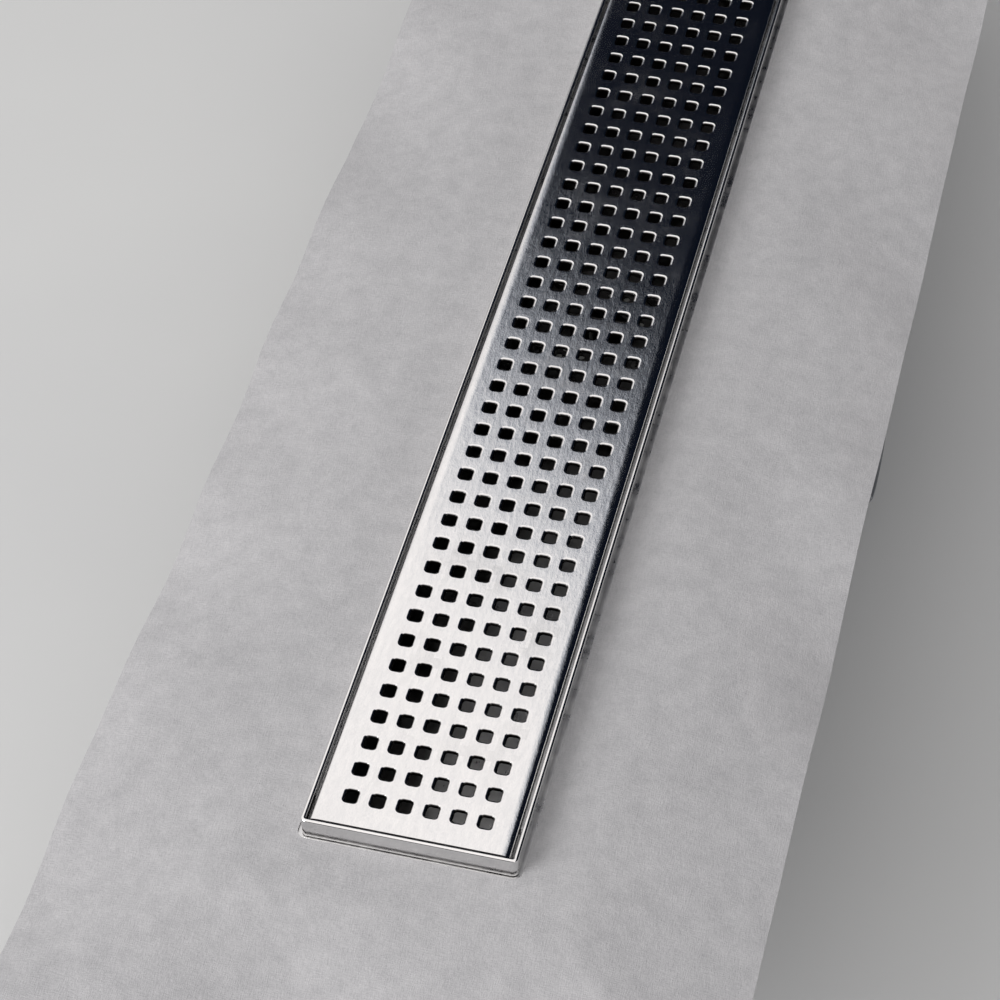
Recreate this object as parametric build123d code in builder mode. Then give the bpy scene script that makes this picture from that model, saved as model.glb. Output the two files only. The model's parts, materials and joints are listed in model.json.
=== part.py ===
from build123d import *
import os
from math import sqrt

# Linear shower drain: a perforated grate in a tile-in frame, over a sloped channel with a removable
# water-seal trap, a swivelling DN 50 outlet and four slotted legs.
# Millimetres. X runs across the drain, Y along it, Z up. The origin is on the floor, under the middle.

os.makedirs("parts", exist_ok=True)

# ---- grate ----
hole_columns = 6
hole_rows = 47
pitch_across = 10.0
pitch_along = 12.5
hole_width = 4.4
hole_length = 5.2
hole_corner = 1.0
grate_width = 74.5
grate_end_margin = 13.0  # from the last row's centre to the end of the sheet
grate_length = (hole_rows - 1) * pitch_along + 2 * grate_end_margin
grate_sheet = 1.5
grate_bend = 2.6  # outside radius of the folded long edges
grate_depth = 6.0
skirt_cutback = 14.5  # the folded edges stop short of the ends, clear of the height screws
stiffener_thickness = 2.0
stiffener_height = 8.0
stiffener_corner = 1.5
stiffener_gaps = (-15, -5, 4, 14)  # gaps between rows, counted from the middle row
pad_thickness = 1.4
pad_size = (8.0, 7.0)
pad_corner = 1.0
pad_from_middle = 12.0

# ---- heights above the floor ----
lip_top = 115.0
grate_top = lip_top - 0.3
shelf_top = grate_top - grate_sheet - pad_thickness
shelf_bottom = shelf_top - 1.2
flange_top = lip_top - 9.0
floor_top_ends = lip_top - 30.0
floor_top_middle = lip_top - 34.0

# ---- tile frame ----
lip_wall = 1.9  # the strip is folded double, so the lip shows as a round bead
side_gap = 1.0
end_gap = 0.3
frame_width = grate_width + 2 * (side_gap + lip_wall)
frame_length = grate_length + 2 * (end_gap + lip_wall)
frame_height = 8.5
frame_corner = 2.3
lip_rounding = 0.9
shelf_width = 73.0
shelf_depth = 10.4
shelf_into_wall = 0.2  # the shelf runs this far into the lip's wall, and is one with it
shelf_hole_play = 0.3
screw_radius = 2.5
screw_clearance = 0.05
screw_under_shelf_top = 0.2
screw_chamfer = 0.4
key_across_flats = 2.5
key_depth = 2.5
screw_across = 24.0
screw_along = grate_length / 2 - 5.5
sleeve_radius = 4.0
sleeve_length = 12.0
sleeve_chamfer = 0.5

# ---- channel ----
channel_sheet = 1.0
channel_half_width = 38.15
channel_half_length = grate_length / 2 + 0.1
upstand_top = lip_top - 6.8
channel_bend = 4.0
flat_floor_middle = 40.0  # half length of the level floor round the trap
flat_floor_ends = 280.0  # the floor is level again beyond this, under the height screws
flange_reach = 30.0
flange_corner = 10.0

# ---- sealing collar ----
bond_thickness = 0.6
bond_margin = 3.0  # from the flange's edge and from the collar's opening
bond_corner = 4.0
collar_thickness = 0.7
collar_reach = 90.0
collar_gap = 1.5
collar_corner = 12.0

# ---- trap ----
floor_bottom_middle = floor_top_middle - channel_sheet
gasket_thickness = 2.0
throat_radius = 27.0
throat_hole_radius = 27.5
clamp_outer_radius = 34.0
clamp_thickness = 2.0
clamp_screw_circle = 30.6
clamp_screw_radius = 2.0
clamp_screw_length = 12.0
clamp_screw_hole_depth = 7.4
clamp_hole_play = 0.05
channel_hole_play = 0.2
thread_play = 0.02
clamp_head_radius = 3.35
clamp_head_height = 2.2
clamp_head_rounding = 0.6
drive_length = 3.6
drive_width = 0.9
drive_depth = 1.4
trap_top_height = 8.0
trap_top_z = floor_bottom_middle - gasket_thickness
seat_depth = 3.0  # how deep the dip tube's flange sits in the throat
seat_radius = 25.6
housing_radius = 43.0
housing_wall = 3.0
housing_bottom = 5.0
housing_top = trap_top_z - trap_top_height
skirt_wall = 2.6
skirt_height = 5.5
skirt_play = 0.1
top_edge_bevel = 3.0
grip_ribs = 24
grip_rib_size = (1.6, 3.0)
housing_rounding = 3.0

# ---- removable water seal ----
water_seal = 50.0
tube_radius = 16.0
tube_wall = 1.6
tube_end = 18.0
tube_flange_radius = 26.7
tube_flange_thickness = 4.0
tube_flange_bottom = trap_top_z - seat_depth
cup_radius = 25.2
cup_wall = 1.5
cup_bottom = 10.0
cup_floor = 2.0
cup_rim = tube_end + water_seal
cup_rounding = 3.0
arm_count = 3
arm_width = 5.0
arm_drop = 12.0  # how far each arm runs down inside the cup's wall
arm_from_axis = 20.5
ring_section = 1.1
ring_play = 0.03

# ---- hair strainer ----
strainer_radius = 26.5
strainer_sheet = 1.2
strainer_z = tube_flange_bottom + tube_flange_thickness
basket_radius = 13.6
basket_wall = 0.8
basket_depth = 24.0
# rings of round holes: (radius of the ring, number of holes)
strainer_rings = [(18.0, 14), (22.6, 20)]
strainer_hole_radius = 1.6
basket_rings = [(4.5, 6), (9.0, 12)]
basket_hole_radius = 1.2
basket_slots = 12
basket_slot_width = 2.0
basket_slot_margin = 4.0
handle_wire = 1.2
handle_half_width = 15.6
handle_height = 7.0
handle_bend = 3.0

# ---- outlet ----
outlet_z = 38.0
ball_x = 66.0
ball_radius = 28.5
ball_clearance = 0.05
ball_back = 16.0
spigot_radius = 25.0
spigot_bore = 22.2
spigot_reach = 58.0
spigot_chamfer = 1.5
neck_bore = 22.0
neck_radius = 26.0
neck_start = 30.0
neck_end = 46.0
neck_bore_length = 36.0
socket_start = 52.0
socket_radius = 33.0
nut_radius = 35.5
nut_back = 12.0
nut_seat = 10.0
nut_front = 13.0
nut_chamfer = 1.0
nut_mouth = (26.0, 26.6, 27.8)  # radii at the ball's middle, at the seat and at the front
nut_play = 0.05
nut_grooves = 16
nut_groove_radius = 2.8
nut_groove_out = 2.0
outlet_ring_section = 1.75
outlet_ring_back = 6.0

# ---- legs ----
leg_along = 220.0
saddle_sheet = 2.0
saddle_width = 25.0
saddle_plate_z = 79.0
saddle_top = 99.0
saddle_bottom = 50.0
leg_sheet = 2.0
leg_width = 22.0
leg_top = 101.0
leg_travel = 30.0
leg_base_end = 72.0
leg_bend = 3.0
bolt_z = 62.0
bolt_radius = 3.0
bolt_hole_radius = 3.1
bolt_head_radius = 7.0
bolt_head_height = 3.3
bolt_head_taper = 30
bolt_stand_out = 12.0
washer_thickness = 1.6
washer_play = 0.2
hub_radius = 6.0
hub_length = 6.5
hub_taper = 6
# a wing of the nut: outwards from the washer, and up from the bolt's middle
wing_outline = [(0.8, 3.6), (3.0, 8.0), (7.0, 15.0), (11.5, 13.5), (10.0, 8.5), (6.0, 3.6)]
wing_corner = 1.2
wing_thickness = 2.6
anchor_from_middle = 57.0
anchor_hole_radius = 3.2
foot_pad_thickness = 2.0
foot_pad_size = (30.0, 26.0)
foot_pad_corner = 3.0
foot_pad_hole_play = 1.0

ENDS = (-1, 1)
CORNERS = [(side, end) for end in ENDS for side in ENDS]


# ============================ grate ============================

with BuildPart() as grate:
    with BuildSketch(Plane.XZ.offset(-grate_length / 2)) as sheet_profile:
        with Locations((0, grate_top - grate_depth / 2)):
            Rectangle(grate_width, grate_depth)
        fillet(sheet_profile.vertices().group_by(Axis.Y)[-1], grate_bend)
        with Locations((0, grate_top - grate_sheet - grate_depth / 2)):
            Rectangle(grate_width - 2 * grate_sheet, grate_depth, mode=Mode.SUBTRACT)
    extrude(amount=grate_length)
    inner_edges = grate.edges().filter_by(Axis.Y).filter_by_position(
        Axis.Z, grate_top - grate_sheet - 0.01, grate_top - grate_sheet + 0.01)
    fillet(inner_edges, grate_bend - grate_sheet)
    # the folded edges are cut back at both ends
    with BuildSketch(Plane.XY.offset(grate_top - grate_bend)):
        with Locations(*[(0, end * (grate_length - skirt_cutback) / 2) for end in ENDS]):
            Rectangle(grate_width + 2, skirt_cutback)
    extrude(amount=-grate_depth, mode=Mode.SUBTRACT)
    with BuildSketch(Plane.XY.offset(grate_top)):
        with GridLocations(pitch_across, pitch_along, hole_columns, hole_rows):
            RectangleRounded(hole_width, hole_length, hole_corner)
    extrude(amount=-2 * grate_sheet, mode=Mode.SUBTRACT)
grate.part.label = "grate"
export_step(grate.part, "parts/grate.step")

# flat bars on edge, welded under the sheet between the skirts, each in a gap between two rows of holes
for number, gap in enumerate(stiffener_gaps, start=1):
    with BuildPart() as stiffener:
        with BuildSketch(Plane.XZ.offset(-(gap + 0.5) * pitch_along)):
            with Locations((0, grate_top - grate_sheet - stiffener_height / 2)):
                RectangleRounded(grate_width - 2 * grate_sheet, stiffener_height, stiffener_corner)
        extrude(amount=stiffener_thickness / 2, both=True)
    stiffener.part.label = f"grate_stiffener_{number}"
    export_step(stiffener.part, f"parts/grate_stiffener_{number}.step")

# rubber rattle pads stuck under the ends of the grate, resting on the frame's shelves
for number, (side, end) in enumerate(CORNERS, start=1):
    with BuildPart() as grate_pad:
        with BuildSketch(Plane.XY.offset(shelf_top)):
            with Locations((side * pad_from_middle, end * screw_along)):
                RectangleRounded(*pad_size, pad_corner)
        extrude(amount=pad_thickness)
    grate_pad.part.label = f"grate_pad_{number}"
    export_step(grate_pad.part, f"parts/grate_pad_{number}.step")


# ============================ tile frame ============================

shelf_from_middle = frame_length / 2 - lip_wall - (shelf_depth - shelf_into_wall) / 2

with BuildPart() as tile_frame:
    with BuildSketch(Plane.XY.offset(lip_top)):
        RectangleRounded(frame_width, frame_length, frame_corner)
        RectangleRounded(frame_width - 2 * lip_wall, frame_length - 2 * lip_wall,
                         frame_corner - lip_wall, mode=Mode.SUBTRACT)
    extrude(amount=-frame_height)
    fillet(tile_frame.faces().sort_by(Axis.Z)[-1].edges(), lip_rounding)
    # a shelf folded inwards at each end carries the grate and takes the height screws
    with BuildSketch(Plane.XY.offset(shelf_bottom)):
        with Locations(*[(0, end * shelf_from_middle) for end in ENDS]):
            Rectangle(shelf_width, shelf_depth + shelf_into_wall)
        with Locations(*[(side * screw_across, end * screw_along) for side, end in CORNERS]):
            Circle(screw_radius + shelf_hole_play, mode=Mode.SUBTRACT)
    extrude(amount=shelf_top - shelf_bottom)
tile_frame.part.label = "tile_frame"
export_step(tile_frame.part, "parts/tile_frame.step")

for number, (side, end) in enumerate(CORNERS, start=1):
    # threaded sleeve welded under the shelf
    with BuildPart() as sleeve:
        with BuildSketch(Plane.XY.offset(shelf_bottom)):
            with Locations((side * screw_across, end * screw_along)):
                Circle(sleeve_radius)
                Circle(screw_radius, mode=Mode.SUBTRACT)
        extrude(amount=-sleeve_length)
        chamfer(sleeve.faces().sort_by(Axis.Z)[0].outer_wire().edges(), sleeve_chamfer)
    sleeve.part.label = f"height_sleeve_{number}"
    export_step(sleeve.part, f"parts/height_sleeve_{number}.step")

    # grub screw standing on the channel's floor, with a hexagon socket at the top
    with BuildPart() as height_screw:
        with BuildSketch(Plane.XY.offset(floor_top_ends)):
            with Locations((side * screw_across, end * screw_along)):
                Circle(screw_radius - screw_clearance)
        extrude(amount=shelf_top - screw_under_shelf_top - floor_top_ends)
        chamfer(height_screw.edges().filter_by(GeomType.CIRCLE), screw_chamfer)
        with BuildSketch(Plane.XY.offset(shelf_top - screw_under_shelf_top)):
            with Locations((side * screw_across, end * screw_along)):
                RegularPolygon(key_across_flats / 2, 6, major_radius=False)
        extrude(amount=-key_depth, mode=Mode.SUBTRACT)
    height_screw.part.label = f"height_screw_{number}"
    export_step(height_screw.part, f"parts/height_screw_{number}.step")


# ============================ channel ============================

def trough(half_width, half_length, sheet):
    """Trough block: level ends, a floor that falls to a level middle, rounded along its lower edges.

    sheet is how far its floor lies under the channel's floor surface."""
    high = floor_top_ends - sheet
    low = floor_top_middle - sheet
    right = [(flat_floor_middle, low), (flat_floor_ends, high), (half_length, high),
             (half_length, upstand_top)]
    left = [(-along, height) for along, height in right[::-1]]
    with BuildPart() as block:
        with BuildSketch(Plane.YZ):
            with BuildLine():
                Polyline(*right, *left, close=True)
            make_face()
        extrude(amount=half_width, both=True)
        walls = block.faces().filter_by(Axis.Z, reverse=True).filter_by(GeomType.PLANE)
        upright = [face for face in walls if abs(face.normal_at().Z) < 0.1]
        lower = [edge for face in upright for edge in face.edges()
                 if edge.center().Z < floor_top_ends + 0.5]
        fillet(lower, channel_bend - channel_sheet + sheet)
    return block.part


hollow = trough(channel_half_width - channel_sheet, channel_half_length - channel_sheet, 0)

with BuildPart() as channel:
    add(trough(channel_half_width, channel_half_length, channel_sheet))
    # flange that carries the waterproofing
    with BuildSketch(Plane.XY.offset(flange_top)):
        RectangleRounded(2 * (channel_half_width + flange_reach),
                         2 * (channel_half_length + flange_reach), flange_corner)
    extrude(amount=-channel_sheet)
    add(hollow, mode=Mode.SUBTRACT)
    # throat and screw holes of the trap
    with BuildSketch(Plane.XY.offset(floor_top_middle)):
        Circle(throat_hole_radius)
        with PolarLocations(clamp_screw_circle, 4, start_angle=45):
            Circle(clamp_screw_radius + channel_hole_play)
    extrude(amount=channel_sheet, both=True, mode=Mode.SUBTRACT)
channel.part.label = "channel"
export_step(channel.part, "parts/channel.step")


# ============================ sealing collar ============================

opening_width = frame_width + 2 * collar_gap
opening_length = frame_length + 2 * collar_gap

with BuildPart() as bond_strip:
    with BuildSketch(Plane.XY.offset(flange_top)):
        RectangleRounded(2 * (channel_half_width + flange_reach - bond_margin),
                         2 * (channel_half_length + flange_reach - bond_margin),
                         flange_corner - bond_margin)
        RectangleRounded(opening_width + 2 * bond_margin, opening_length + 2 * bond_margin, bond_corner,
                         mode=Mode.SUBTRACT)
    extrude(amount=bond_thickness)
bond_strip.part.label = "bond_strip"
export_step(bond_strip.part, "parts/bond_strip.step")

with BuildPart() as sealing_collar:
    with BuildSketch(Plane.XY.offset(flange_top + bond_thickness)):
        RectangleRounded(frame_width + 2 * collar_reach, frame_length + 2 * collar_reach, collar_corner)
        RectangleRounded(opening_width, opening_length, frame_corner + collar_gap, mode=Mode.SUBTRACT)
    extrude(amount=collar_thickness)
sealing_collar.part.label = "sealing_collar"
export_step(sealing_collar.part, "parts/sealing_collar.step")


# ============================ trap body ============================

with BuildPart() as trap_gasket:
    with BuildSketch(Plane.XY.offset(trap_top_z)):
        Circle(clamp_outer_radius)
        Circle(throat_hole_radius, mode=Mode.SUBTRACT)
        with PolarLocations(clamp_screw_circle, 4, start_angle=45):
            Circle(clamp_screw_radius + clamp_hole_play, mode=Mode.SUBTRACT)
    extrude(amount=gasket_thickness)
trap_gasket.part.label = "trap_gasket"
export_step(trap_gasket.part, "parts/trap_gasket.step")

with BuildPart() as clamp_ring:
    with BuildSketch(Plane.XY.offset(floor_top_middle)):
        Circle(clamp_outer_radius)
        Circle(throat_radius + channel_hole_play, mode=Mode.SUBTRACT)
        with PolarLocations(clamp_screw_circle, 4, start_angle=45):
            Circle(clamp_screw_radius + clamp_hole_play, mode=Mode.SUBTRACT)
    extrude(amount=clamp_thickness)
clamp_ring.part.label = "clamp_ring"
export_step(clamp_ring.part, "parts/clamp_ring.step")

clamp_head_z = floor_top_middle + clamp_thickness
with BuildPart() as clamp_screws:
    with BuildSketch(Plane.XY.offset(clamp_head_z)):
        with PolarLocations(clamp_screw_circle, 4, start_angle=45):
            Circle(clamp_head_radius)
    extrude(amount=clamp_head_height)
    fillet(clamp_screws.faces().group_by(Axis.Z)[-1].edges(), clamp_head_rounding)
    with BuildSketch(Plane.XY.offset(clamp_head_z)):
        with PolarLocations(clamp_screw_circle, 4, start_angle=45):
            Circle(clamp_screw_radius)
    extrude(amount=-clamp_screw_length)
    with BuildSketch(Plane.XY.offset(clamp_head_z + clamp_head_height)):
        with PolarLocations(clamp_screw_circle, 4, start_angle=45):
            Rectangle(drive_length, drive_width)
            Rectangle(drive_width, drive_length)
    extrude(amount=-drive_depth, mode=Mode.SUBTRACT)
clamp_screws.part.label = "clamp_screws"
export_step(clamp_screws.part, "parts/clamp_screws.step")

with BuildPart() as trap_top:
    with BuildSketch(Plane.XZ):
        with BuildLine():
            Polyline(
                (seat_radius, housing_top),
                (housing_radius + skirt_play, housing_top),
                (housing_radius + skirt_play, housing_top - skirt_height),
                (housing_radius + skirt_wall, housing_top - skirt_height),
                (housing_radius + skirt_wall, trap_top_z - top_edge_bevel),
                (clamp_outer_radius + 2, trap_top_z),
                (throat_radius, trap_top_z),
                (throat_radius, tube_flange_bottom),
                (seat_radius, tube_flange_bottom),
                close=True,
            )
        make_face()
    revolve(axis=Axis.Z)
    with BuildSketch(Plane.XY.offset(trap_top_z)):
        with PolarLocations(clamp_screw_circle, 4, start_angle=45):
            Circle(clamp_screw_radius + thread_play)
    extrude(amount=-clamp_screw_hole_depth, mode=Mode.SUBTRACT)
    # grip ribs round the skirt
    with BuildSketch(Plane.XY.offset(housing_top - skirt_height)):
        with PolarLocations(housing_radius + skirt_wall, grip_ribs):
            Rectangle(*grip_rib_size)
    extrude(amount=skirt_height)
trap_top.part.label = "trap_top"
export_step(trap_top.part, "parts/trap_top.step")

outlet_axis = Axis((0, 0, outlet_z), (1, 0, 0))
ball_centre = Plane(origin=(ball_x, 0, outlet_z), x_dir=(0, 1, 0), z_dir=(1, 0, 0))
ring_distance = ball_radius + outlet_ring_section + ring_play
outlet_ring_radius = sqrt(ring_distance**2 - outlet_ring_back**2)

with BuildPart() as trap_housing:
    with BuildSketch(Plane.XY.offset(housing_bottom)):
        Circle(housing_radius)
    extrude(amount=housing_top - housing_bottom)
    fillet(trap_housing.faces().sort_by(Axis.Z)[0].edges(), housing_rounding)
    # neck and ball socket of the outlet
    with BuildSketch(Plane.XZ):
        with BuildLine():
            Polyline(
                (neck_start, outlet_z),
                (neck_start, outlet_z + neck_radius),
                (neck_end, outlet_z + neck_radius),
                (socket_start, outlet_z + socket_radius),
                (ball_x, outlet_z + socket_radius),
                (ball_x, outlet_z),
                close=True,
            )
        make_face()
    revolve(axis=outlet_axis)
    with BuildSketch(Plane.XY.offset(housing_top)):
        Circle(housing_radius - housing_wall)
    extrude(amount=-(housing_top - housing_bottom - housing_wall), mode=Mode.SUBTRACT)
    with BuildSketch(ball_centre):
        Circle(neck_bore)
    extrude(amount=-neck_bore_length, mode=Mode.SUBTRACT)
    with Locations(ball_centre):
        Sphere(ball_radius + ball_clearance, mode=Mode.SUBTRACT)
    with Locations(ball_centre.offset(-outlet_ring_back)):
        Torus(outlet_ring_radius, outlet_ring_section + ring_play, mode=Mode.SUBTRACT)
trap_housing.part.label = "trap_housing"
export_step(trap_housing.part, "parts/trap_housing.step")

with BuildPart() as outlet_seal:
    with Locations(ball_centre.offset(-outlet_ring_back)):
        Torus(outlet_ring_radius, outlet_ring_section)
outlet_seal.part.label = "outlet_seal"
export_step(outlet_seal.part, "parts/outlet_seal.step")

with BuildPart() as outlet_nut:
    with BuildSketch(ball_centre.offset(-nut_back)):
        Circle(nut_radius)
    extrude(amount=nut_back + nut_front)
    chamfer(outlet_nut.edges().filter_by(GeomType.CIRCLE), nut_chamfer)
    with BuildSketch(ball_centre.offset(-nut_back)):
        Circle(socket_radius + nut_play)
    extrude(amount=nut_back, mode=Mode.SUBTRACT)
    with Locations(ball_centre):
        Sphere(ball_radius + ball_clearance, mode=Mode.SUBTRACT)
    with BuildSketch(Plane.XZ):
        with BuildLine():
            Polyline(
                (ball_x, outlet_z),
                (ball_x, outlet_z + nut_mouth[0]),
                (ball_x + nut_seat, outlet_z + nut_mouth[1]),
                (ball_x + nut_front, outlet_z + nut_mouth[2]),
                (ball_x + nut_front, outlet_z),
                close=True,
            )
        make_face()
    revolve(axis=outlet_axis, mode=Mode.SUBTRACT)
    # finger grooves
    with BuildSketch(ball_centre.offset(-nut_back)):
        with PolarLocations(nut_radius + nut_groove_out, nut_grooves):
            Circle(nut_groove_radius)
    extrude(amount=nut_back + nut_front, mode=Mode.SUBTRACT)
outlet_nut.part.label = "outlet_nut"
export_step(outlet_nut.part, "parts/outlet_nut.step")

with BuildPart() as outlet_spigot:
    with Locations(ball_centre):
        Sphere(ball_radius)
    with BuildSketch(ball_centre.offset(-ball_back)):
        Circle(ball_radius + 1)
    extrude(amount=-ball_radius, mode=Mode.SUBTRACT)
    with BuildSketch(ball_centre):
        Circle(spigot_radius)
    extrude(amount=spigot_reach)
    chamfer(outlet_spigot.faces().sort_by(Axis.X)[-1].edges(), spigot_chamfer)
    with BuildSketch(ball_centre.offset(-ball_radius)):
        Circle(spigot_bore)
    extrude(amount=ball_radius + spigot_reach, mode=Mode.SUBTRACT)
outlet_spigot.part.label = "outlet_spigot"
export_step(outlet_spigot.part, "parts/outlet_spigot.step")


# ============================ removable water seal ============================

ring_radius = throat_radius - 0.05 - ring_section

with BuildPart() as dip_tube:
    with BuildSketch(Plane.XY.offset(tube_end)):
        Circle(tube_radius)
    extrude(amount=tube_flange_bottom - tube_end)
    with BuildSketch(Plane.XY.offset(tube_flange_bottom)):
        Circle(tube_flange_radius)
    extrude(amount=tube_flange_thickness)
    with BuildSketch(Plane.XY.offset(tube_end)):
        Circle(tube_radius - tube_wall)
    extrude(amount=strainer_z - tube_end, mode=Mode.SUBTRACT)
    # groove for the sealing ring
    with BuildSketch(Plane.XY.offset(tube_flange_bottom + tube_flange_thickness / 2)):
        Circle(tube_flange_radius + 1)
        Circle(ring_radius - ring_section - ring_play, mode=Mode.SUBTRACT)
    extrude(amount=ring_section + ring_play, both=True, mode=Mode.SUBTRACT)
dip_tube.part.label = "dip_tube"
export_step(dip_tube.part, "parts/dip_tube.step")

with BuildPart() as insert_seal:
    with Locations(Plane.XY.offset(tube_flange_bottom + tube_flange_thickness / 2)):
        Torus(ring_radius, ring_section)
insert_seal.part.label = "insert_seal"
export_step(insert_seal.part, "parts/insert_seal.step")

with BuildPart() as trap_cup:
    with BuildSketch(Plane.XY.offset(cup_bottom)):
        Circle(cup_radius)
    extrude(amount=cup_rim - cup_bottom)
    fillet(trap_cup.faces().sort_by(Axis.Z)[0].edges(), cup_rounding)
    with BuildSketch(Plane.XY.offset(cup_bottom + cup_floor)):
        Circle(cup_radius - cup_wall)
    extrude(amount=cup_rim, mode=Mode.SUBTRACT)
    # three arms hang the cup from the tube's flange and leave windows for the overflow
    with BuildSketch(Plane.XY.offset(cup_rim - arm_drop)):
        Circle(cup_radius)
        Circle(arm_from_axis, mode=Mode.SUBTRACT)
        with PolarLocations(cup_radius, arm_count):
            Rectangle(cup_radius, arm_width, mode=Mode.INTERSECT)
    extrude(amount=tube_flange_bottom - cup_rim + arm_drop)
trap_cup.part.label = "trap_cup"
export_step(trap_cup.part, "parts/trap_cup.step")


# ============================ hair strainer ============================

with BuildPart() as hair_strainer:
    with BuildSketch(Plane.XY.offset(strainer_z)):
        Circle(strainer_radius)
        for ring, count in strainer_rings:
            with PolarLocations(ring, count):
                Circle(strainer_hole_radius, mode=Mode.SUBTRACT)
    extrude(amount=strainer_sheet)
    with BuildSketch(Plane.XY.offset(strainer_z)):
        Circle(basket_radius)
    extrude(amount=-basket_depth)
    with BuildSketch(Plane.XY.offset(strainer_z + strainer_sheet)):
        Circle(basket_radius - basket_wall)
    extrude(amount=-(basket_depth + strainer_sheet - basket_wall), mode=Mode.SUBTRACT)
    with BuildSketch(Plane.XY.offset(strainer_z - basket_depth)):
        Circle(basket_hole_radius)
        for ring, count in basket_rings:
            with PolarLocations(ring, count):
                Circle(basket_hole_radius)
    extrude(amount=2 * basket_wall, mode=Mode.SUBTRACT)
    # drain slots in the basket's wall
    with BuildSketch(Plane.XY.offset(strainer_z - basket_depth + basket_slot_margin)):
        with PolarLocations(basket_radius, basket_slots):
            Rectangle(4 * basket_wall, basket_slot_width)
    extrude(amount=basket_depth - 2 * basket_slot_margin, mode=Mode.SUBTRACT)
hair_strainer.part.label = "hair_strainer"
export_step(hair_strainer.part, "parts/hair_strainer.step")

handle_foot_z = strainer_z + strainer_sheet
with BuildPart() as strainer_handle:
    with BuildLine() as handle_path:
        FilletPolyline(
            (-handle_half_width, 0, handle_foot_z),
            (-handle_half_width, 0, handle_foot_z + handle_height - handle_wire),
            (handle_half_width, 0, handle_foot_z + handle_height - handle_wire),
            (handle_half_width, 0, handle_foot_z),
            radius=handle_bend,
        )
    with BuildSketch(Plane(handle_path.line @ 0, z_dir=handle_path.line % 0)):
        Circle(handle_wire)
    sweep()
strainer_handle.part.label = "strainer_handle"
export_step(strainer_handle.part, "parts/strainer_handle.step")


# ============================ legs ============================

for end, name in zip(ENDS, ("leg_saddle_front", "leg_saddle_rear")):
    with BuildPart() as saddle:
        with BuildSketch(Plane.XZ.offset(-end * leg_along)):
            with Locations((0, saddle_plate_z + saddle_sheet / 2)):
                Rectangle(2 * (channel_half_width + saddle_sheet), saddle_sheet)
            with Locations(*[(side * (channel_half_width + saddle_sheet / 2),
                              (saddle_top + saddle_bottom) / 2) for side in ENDS]):
                Rectangle(saddle_sheet, saddle_top - saddle_bottom)
        extrude(amount=saddle_width / 2, both=True)
        with BuildSketch(Plane.YZ):
            with Locations((end * leg_along, bolt_z)):
                Circle(bolt_hole_radius)
        extrude(amount=2 * channel_half_width, both=True, mode=Mode.SUBTRACT)
    saddle.part.label = name
    export_step(saddle.part, f"parts/{name}.step")

leg_inside = channel_half_width + saddle_sheet
leg_outside = leg_inside + leg_sheet
slot_middle = bolt_z + leg_travel / 2
slot_length = leg_travel + 2 * bolt_hole_radius

for number, (side, end) in enumerate(CORNERS, start=1):
    # the plane across the drain at this leg, with its first direction pointing outwards
    across = Plane(origin=(0, end * leg_along, 0), x_dir=(side, 0, 0), z_dir=(0, -side, 0))
    with BuildPart() as leg:
        with BuildSketch(across) as leg_profile:
            with BuildLine():
                Polyline(
                    (leg_inside, leg_top),
                    (leg_inside, foot_pad_thickness),
                    (leg_base_end, foot_pad_thickness),
                    (leg_base_end, foot_pad_thickness + leg_sheet),
                    (leg_outside, foot_pad_thickness + leg_sheet),
                    (leg_outside, leg_top),
                    close=True,
                )
            make_face()
        extrude(amount=leg_width / 2, both=True)
        heel = leg.edges().filter_by(Axis.Y).group_by(Axis.Z)[0]
        heel = sorted(heel, key=lambda edge: abs(edge.center().X))[:1]
        fillet(heel, leg_bend)
        with BuildSketch(Plane.YZ):
            with Locations((end * leg_along, slot_middle)):
                SlotOverall(slot_length, 2 * bolt_hole_radius, rotation=90)
        extrude(amount=leg_base_end, both=True, mode=Mode.SUBTRACT)
        with BuildSketch(Plane.XY):
            with Locations((side * anchor_from_middle, end * leg_along)):
                Circle(anchor_hole_radius)
        extrude(amount=2 * leg_bend + leg_sheet, mode=Mode.SUBTRACT)
    leg.part.label = f"leg_{number}"
    export_step(leg.part, f"parts/leg_{number}.step")

    with BuildPart() as foot_pad:
        with BuildSketch(Plane.XY):
            with Locations((side * anchor_from_middle, end * leg_along)):
                RectangleRounded(*foot_pad_size, foot_pad_corner)
                Circle(anchor_hole_radius + foot_pad_hole_play, mode=Mode.SUBTRACT)
        extrude(amount=foot_pad_thickness)
    foot_pad.part.label = f"foot_pad_{number}"
    export_step(foot_pad.part, f"parts/foot_pad_{number}.step")

bolt_end = leg_outside + bolt_stand_out
nut_face = leg_outside + washer_thickness
bolt_planes = [Plane(origin=(0, end * leg_along, bolt_z), x_dir=(0, side, 0), z_dir=(side, 0, 0))
               for side, end in CORNERS]

with BuildPart() as leg_bolts:
    for plane in bolt_planes:
        with BuildSketch(plane.offset(channel_half_width)):
            Circle(bolt_head_radius)
        extrude(amount=-bolt_head_height, taper=bolt_head_taper)
        with BuildSketch(plane.offset(channel_half_width)):
            Circle(bolt_radius)
        extrude(amount=bolt_end - channel_half_width)
leg_bolts.part.label = "leg_bolts"
export_step(leg_bolts.part, "parts/leg_bolts.step")

with BuildPart() as leg_washers:
    for plane in bolt_planes:
        with BuildSketch(plane.offset(leg_outside)):
            Circle(bolt_head_radius)
            Circle(bolt_radius + washer_play, mode=Mode.SUBTRACT)
        extrude(amount=washer_thickness)
leg_washers.part.label = "leg_washers"
export_step(leg_washers.part, "parts/leg_washers.step")

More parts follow.
